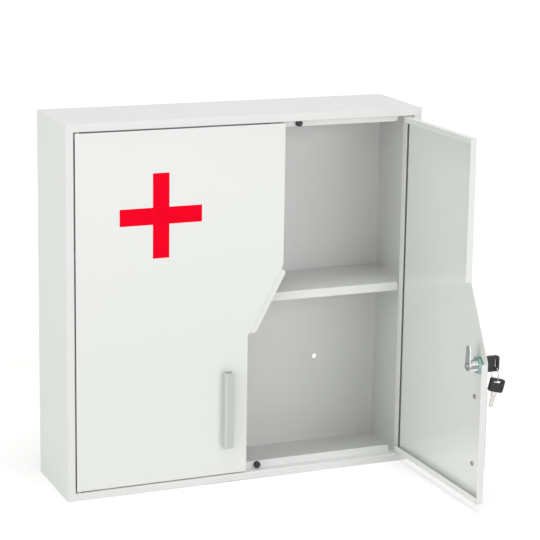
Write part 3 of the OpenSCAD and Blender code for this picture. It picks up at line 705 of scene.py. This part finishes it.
washerLook = {"half": 0.3, "root": 0.86, "borePlay": 0.05, "teeth": 24, "toothWidth": 1.9,
              "toothTwist": 18, "toothThick": 1.8, "toothTaper": 0.75, "sunk": 0.6, "inward": 0.7,
              "toothEdge": 0.12}


def toothWasher():
    # flat ring with twisted teeth round its edge
    low, high = boxWhere("lock_washer", lockFrame)
    bore = barrel.y + washerLook["borePlay"] * mm
    middle = (low.z + high.z) / 2
    half = washerLook["half"] * mm
    root = washerLook["root"] * high.x
    ring = lathe([(bore, middle - half), (root, middle - half), (root, middle + half),
                  (bore, middle + half)], lockLook["steps"], closed=True)
    parts = [ring]
    for i in range(washerLook["teeth"]):
        tooth = block((high.x - root + washerLook["sunk"] * mm, washerLook["toothWidth"] * mm,
                       washerLook["toothThick"] * half))
        outer = [v for v in tooth.verts if v.co.x > 0]
        bmesh.ops.scale(tooth, verts=outer, vec=(1, washerLook["toothTaper"], 1))
        turned(tooth, washerLook["toothTwist"], "X")
        bmesh.ops.translate(tooth, verts=tooth.verts,
                            vec=((high.x + root - washerLook["inward"] * mm) / 2, 0, middle))
        roundOff(tooth, list(tooth.edges), washerLook["toothEdge"] * mm, segments=1)
        turned(tooth, 360 * i / washerLook["teeth"], "Z")
        parts.append(tooth)
    setPiece(joined(parts), "toothWasher", "right_leaf", ["lock_washer"], "passivated_zinc",
             lockFrame, lockLook["smooth"])


lockHousing()
lockNut()
toothWasher()

# node, piece, slot and the radius of its edges
for nodeName, pieceName, slotName, radius in (("lock_plug", "lockCore", "lock_chrome", 0.2),
                                              ("cam", "lockCam", "lock_chrome", 0.45),
                                              ("cam_washer", "camWasher", "zinc", 0.2)):
    turning = partMesh(nodeName, lockFrame)
    roundOff(turning, cornerEdges(turning, None, True), radius * mm)
    setPiece(turning, pieceName, "plug", [nodeName], slotName, lockFrame)


def camScrew():
    low, high = boxWhere("cam_screw", lockFrame)
    washer = boxWhere("cam_washer", lockFrame)[0].z
    headR = high.x
    bm = panScrew(headR, washer - low.z, screwLook["camShank"] * headR, high.z - washer)
    flip = Matrix.Translation((0, 0, washer)) @ Matrix.Rotation(math.pi, 4, "X")
    setPiece(bm, "camScrew", "plug", ["cam_screw"], "zinc", lockFrame @ flip)


camScrew()
print("stage: lock")


# keys are shaped lying flat, with the grip's end at the origin and the blade towards -Y
keyLook = {"spareTilt": 15, "smooth": 30, "bowEdge": 1.3, "bowEdgeSteps": 4, "wide": 4,
           "onFace": 0.01, "slotIn": 5.5, "slotReach": 2, "slotEdge": 1.0, "otherEdge": 0.25,
           "panelEdge": 3.6, "panelDepth": 0.45, "panelTop": 11.0, "panelCorner": 1.2,
           "groove": 1.3, "grooveDepth": 0.45, "grooveOff": 0.9, "grooveShift": 4.0,
           "bladeEdge": 0.14}
farEnd = boxWhere("key_bow", lockFrame)[1].z
inLock = (lockFrame @ Matrix.Translation((0, 0, farEnd)) @ Matrix.Rotation(math.radians(-90), 4, "Y")
          @ Matrix.Rotation(math.radians(-90), 4, "Z"))
ringLow = Matrix.Translation(lockFrame.inverted() @ Vector(joints["spare_key_swing"]["pos_m"]))
tilted = (lockFrame @ ringLow @ Matrix.Rotation(math.radians(90), 4, "Y")
          @ Matrix.Rotation(math.radians(keyLook["spareTilt"]), 4, "Z"))
spareBox = boxWhere("spare_key_bow", tilted)
onRing = tilted @ Matrix.Translation(((spareBox[0].x + spareBox[1].x) / 2, spareBox[1].y, 0))


def keyBow(pieceName, nodeName, body, place):
    # rounded grip with a plain sunk panel on both faces
    bm = partMesh("key_bow", inLock)
    low, high = boxOf(v.co.copy() for v in bm.verts)
    onFace = keyLook["onFace"] * mm
    outline = [e for e in cornerEdges(bm, keyLook["wide"] * mm, True)
               if all(abs(abs(v.co.z) - high.z) < onFace for v in e.verts)]
    roundOff(bm, outline, keyLook["bowEdge"] * mm, keyLook["bowEdgeSteps"])
    slotRim = [e for e in cornerEdges(bm, None, True)
               if all(abs(abs(v.co.z) - high.z) < onFace
                      and abs(v.co.y + keyLook["slotIn"] * mm) < keyLook["slotReach"] * mm
                      for v in e.verts)]
    roundOff(bm, slotRim, keyLook["slotEdge"] * mm)
    roundOff(bm, cornerEdges(bm, None, True), keyLook["otherEdge"] * mm, segments=2)
    panelTop = -keyLook["panelTop"] * mm
    panelLow = low.y + keyLook["panelEdge"] * mm
    for side in (-1, 1):
        panel = block((high.x - low.x - 2 * keyLook["panelEdge"] * mm, panelTop - panelLow,
                       2 * keyLook["panelDepth"] * mm), (0, (panelTop + panelLow) / 2, side * high.z))
        corners = [e for e in panel.edges if abs(e.verts[0].co.z - e.verts[1].co.z) > onFace]
        roundOff(panel, corners, keyLook["panelCorner"] * mm)
        bm = carved(bm, panel)
    setPiece(bm, pieceName, body, [nodeName], "bow_plastic", place, keyLook["smooth"])


def keyBlade(pieceName, nodeName, body, place):
    # milled blade with a groove along each side
    bm = partMesh("key_blade", inLock)
    low, high = boxOf(v.co.copy() for v in bm.verts)
    roundOff(bm, cornerEdges(bm, None, True), keyLook["bladeEdge"] * mm, segments=1)
    for side in (-1, 1):
        groove = block((keyLook["groove"] * mm, high.y - low.y, 2 * keyLook["grooveDepth"] * mm),
                       (side * keyLook["grooveOff"] * mm, low.y + keyLook["grooveShift"] * mm,
                        side * high.z))
        bm = carved(bm, groove)
    setPiece(bm, pieceName, body, [nodeName], "key_steel", place, keyLook["smooth"])


keyBow("keyBow", "key_bow", "key", inLock)
keyBlade("keyBlade", "key_blade", "key", inLock)
keyBow("spareKeyBow", "spare_key_bow", "spare_key", onRing)
keyBlade("spareKeyBlade", "spare_key_blade", "spare_key", onRing)


ringLook = {"turns": 2, "steps": 144, "gap": 0.05, "corner": 0.12, "across": 1.9, "smooth": 30}


def splitRing():
    # flat wire wound twice, one turn lying on the other
    low, high = boxWhere("key_ring", lockFrame)
    wire = (high.z - low.z) / 2
    mean = (high.x - low.x) / 2 - wire
    gap = ringLook["gap"] * mm
    thick = (high.z - low.z - ringLook["turns"] * gap) / (ringLook["turns"] + 1)
    rise = (thick + gap) * ringLook["turns"]
    bm = bmesh.new()
    bmesh.ops.create_grid(bm, x_segments=1, y_segments=1, size=0.5)
    bmesh.ops.scale(bm, verts=bm.verts, vec=(ringLook["across"] * wire, thick, 1))
    bmesh.ops.bevel(bm, geom=list(bm.verts), offset=ringLook["corner"] * mm, offset_type="OFFSET",
                    affect="VERTICES", segments=2, profile=0.5, material=-1)
    turned(bm, 90, "X")
    bmesh.ops.translate(bm, verts=bm.verts, vec=(mean, 0, 0))
    bmesh.ops.spin(bm, geom=list(bm.faces), cent=(0, 0, 0), axis=(0, 0, 1),
                   dvec=(0, 0, rise / ringLook["steps"]),
                   angle=2 * math.pi * ringLook["turns"], steps=ringLook["steps"])
    bmesh.ops.recalc_face_normals(bm, faces=bm.faces)
    box = boxOf(v.co.copy() for v in bm.verts)
    centre = Vector(((low.x + high.x) / 2, (low.y + high.y) / 2,
                     (low.z + high.z) / 2 - (box[0].z + box[1].z) / 2))
    bmesh.ops.translate(bm, verts=bm.verts, vec=centre)
    setPiece(bm, "splitRing", "ring", ["key_ring"], "key_steel", lockFrame, ringLook["smooth"])


splitRing()
print("stage: keys")


# place in metres, lens and sensor in mm, angles in degrees: turn to the right of +Y, tilt down, roll
photoCamera = {"place": (-1.1591, -3.0207, 0.7994), "azimuth": 24.23, "down": 12.723,
               "roll": 1.219, "lens": 133.22, "sensor": 36, "shift": (-0.100, -0.054)}


def addCamera():
    az, el, roll = (math.radians(photoCamera[k]) for k in ("azimuth", "down", "roll"))
    ahead = Vector((math.sin(az) * math.cos(el), math.cos(az) * math.cos(el), -math.sin(el)))
    flat = Vector((math.cos(az), -math.sin(az), 0))
    above = flat.cross(ahead)
    right = flat * math.cos(roll) + above * math.sin(roll)
    data = bpy.data.cameras.new("photoCamera")
    data.lens = photoCamera["lens"]
    data.sensor_width = photoCamera["sensor"]
    data.shift_x, data.shift_y = photoCamera["shift"]
    camera = bpy.data.objects.new("photoCamera", data)
    bpy.context.scene.collection.objects.link(camera)
    axes = Matrix((right, right.cross(ahead), -ahead)).transposed()
    camera.matrix_world = Matrix.Translation(photoCamera["place"]) @ axes.to_4x4()
    bpy.context.scene.camera = camera


# places and sizes in metres; the floor's glow goes from one value to the other over glowReach from
# the origin; each lamp has its name, place, width, power in watts and colour
studio = {"ambient": (0.418, 0.412, 0.408), "floorHalf": 20, "floorColour": 0.84,
          "floorGlow": (0.385, 0.75), "glowReach": (0.7, 2.2), "aim": (0, -0.1, 0),
          "lamps": [("frontRight", (0.85, -3.2, 0.8), 1.2, 24.5, (1.0, 0.995, 1.0)),
                    ("frontFill", (-0.45, -2.4, 0.2), 0.9, 2.6, (1.0, 0.995, 1.0)),
                    ("overhead", (0.0, -0.5, 3.2), 1.6, 39.0, (1.0, 1.0, 1.0)),
                    ("frontLeft", (-2.4, -2.2, 1.0), 1.6, 8.0, (0.92, 1.0, 0.91)),
                    ("left", (-3.0, -0.9, 0.3), 1.4, 22.5, (0.915, 1.0, 0.905))]}


def addLamp(name, place, size, power, colour):
    # square soft box turned to the cabinet
    data = bpy.data.lights.new(name, "AREA")
    data.shape = "SQUARE"
    data.size = size
    data.energy = power
    data.color = colour
    lamp = bpy.data.objects.new(name, data)
    bpy.context.scene.collection.objects.link(lamp)
    lamp.location = place
    aim = Vector(studio["aim"]) - Vector(place)
    lamp.rotation_euler = aim.to_track_quat("-Z", "Y").to_euler()


def seenRays(start):
    # one for rays that show the background: camera, mirror and glass rays
    rays = [start.add("LightPath", out=name)
            for name in ("Is Camera Ray", "Is Glossy Ray", "Is Transmission Ray")]
    return start.calc("MINIMUM", rays[0] + rays[1] + rays[2], 1.0)


def addWorld():
    world = bpy.data.worlds.new("studio")
    bpy.context.scene.world = world
    world.use_nodes = True
    world.node_tree.nodes.clear()
    start = Shade(world.node_tree)
    level = start.mix(seenRays(start), rgba(studio["ambient"]), (1, 1, 1, 1))
    light = start.add("Background", {}, {"Color": level, "Strength": 1.0})
    start.add("OutputWorld", {}, {"Surface": light})


def addFloor():
    # pale floor under the cabinet, which glows only for rays that show the background
    bm = bmesh.new()
    bmesh.ops.create_grid(bm, x_segments=1, y_segments=1, size=studio["floorHalf"])
    bmesh.ops.translate(bm, verts=bm.verts, vec=(0, 0, cadLow.z))
    mesh = bpy.data.meshes.new("floor")
    bm.to_mesh(mesh)
    bm.free()
    floor = bpy.data.objects.new("floor", mesh)
    bpy.context.scene.collection.objects.link(floor)
    mat, start = startMaterial("floor")
    matt = start.add("BsdfDiffuse", {}, {"Color": rgba((1, 1, 1), studio["floorColour"])})
    place = start.add("TexCoord", out="Object")
    away = start.add("VectorMath", {"operation": "LENGTH"}, {0: place}, out=1)
    shine = between(start, away, *studio["glowReach"], *studio["floorGlow"])
    glow = start.add("Emission", {}, {"Strength": seenRays(start) * shine})
    start.add("OutputMaterial", {}, {"Surface": start.add("AddShader", {}, {0: matt, 1: glow})})
    mesh.materials.append(mat)


addCamera()
addWorld()
addFloor()
for lamp in studio["lamps"]:
    addLamp(*lamp)
bpy.context.scene.view_settings.view_transform = "Standard"
print("stage: camera and light")
